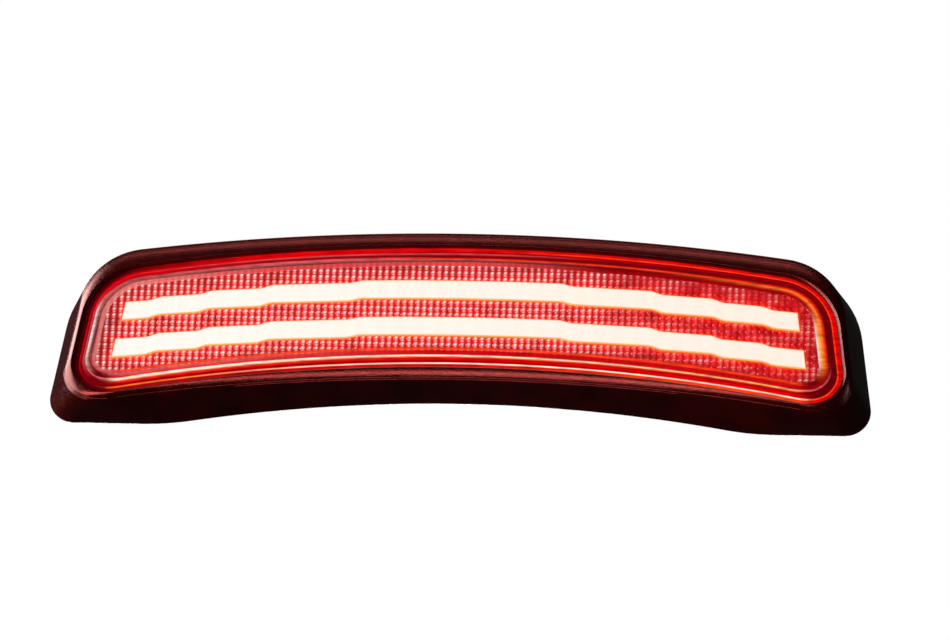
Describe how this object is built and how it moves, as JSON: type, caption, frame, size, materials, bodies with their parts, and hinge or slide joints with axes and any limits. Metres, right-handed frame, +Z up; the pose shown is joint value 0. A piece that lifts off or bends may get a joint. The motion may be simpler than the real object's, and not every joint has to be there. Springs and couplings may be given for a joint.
{
  "type": "third brake light",
  "caption": "Arched centre high-mount stop lamp: red lens over two stepped light bars, flared textured bezel, rear studs and socket.",
  "frame": {"origin": "on the body panel's face, midway between the two mounting studs", "axes": "+Z up, X along the lamp's width, the lamp shines towards -Y and its studs point to +Y"},
  "size_m": [0.3104, 0.05, 0.0784],
  "materials": {
    "red_lens": "gloss, tinted through",
    "sealant": "satin",
    "bezel_plastic": "fine moulded grain",
    "housing_plastic": "fine moulded grain",
    "foam": "closed-cell foam",
    "pillow_plastic": "moulded pillow optics",
    "frame_plastic": "smooth",
    "glow_bar": "milky diffuser, lit",
    "channel_plastic": "white, smooth",
    "circuit_board": "white solder mask",
    "green_board": "green solder mask",
    "led_package": "moulded package",
    "black_component": "moulded package",
    "can_metal": "satin",
    "zinc_steel": "zinc plated",
    "tin_brass": "tin plated",
    "connector_plastic": "smooth",
    "silicone": "silicone",
    "membrane": "porous film"
  },
  "bodies": {
    "root": {"outer_lens": "red_lens", "lens_seal": "sealant", "bezel": "bezel_plastic", "housing": "housing_plastic", "panel_gasket": "foam", "pillow_optic": "pillow_plastic", "optic_frame": "frame_plastic", "light_bar_upper": "glow_bar", "light_bar_lower": "glow_bar", "light_channel_upper": "channel_plastic", "light_channel_lower": "channel_plastic", "led_board_upper": "circuit_board", "led_board_lower": "circuit_board", "leds_upper": "led_package", "leds_lower": "led_package", "led_resistors_upper": "black_component", "led_resistors_lower": "black_component", "led_board_screws": "zinc_steel", "board_link_pins": "tin_brass", "driver_board": "green_board", "driver_board_screws": "zinc_steel", "driver_chip": "black_component", "driver_capacitors": "can_metal", "protection_diodes": "black_component", "driver_cover": "housing_plastic", "driver_cover_seal": "silicone", "driver_cover_screws": "zinc_steel", "connector_shroud": "connector_plastic", "connector_terminals": "tin_brass", "connector_seal": "silicone", "vent_cap": "connector_plastic", "vent_membrane": "membrane", "mounting_studs": "zinc_steel"}
  },
  "joints": []
}
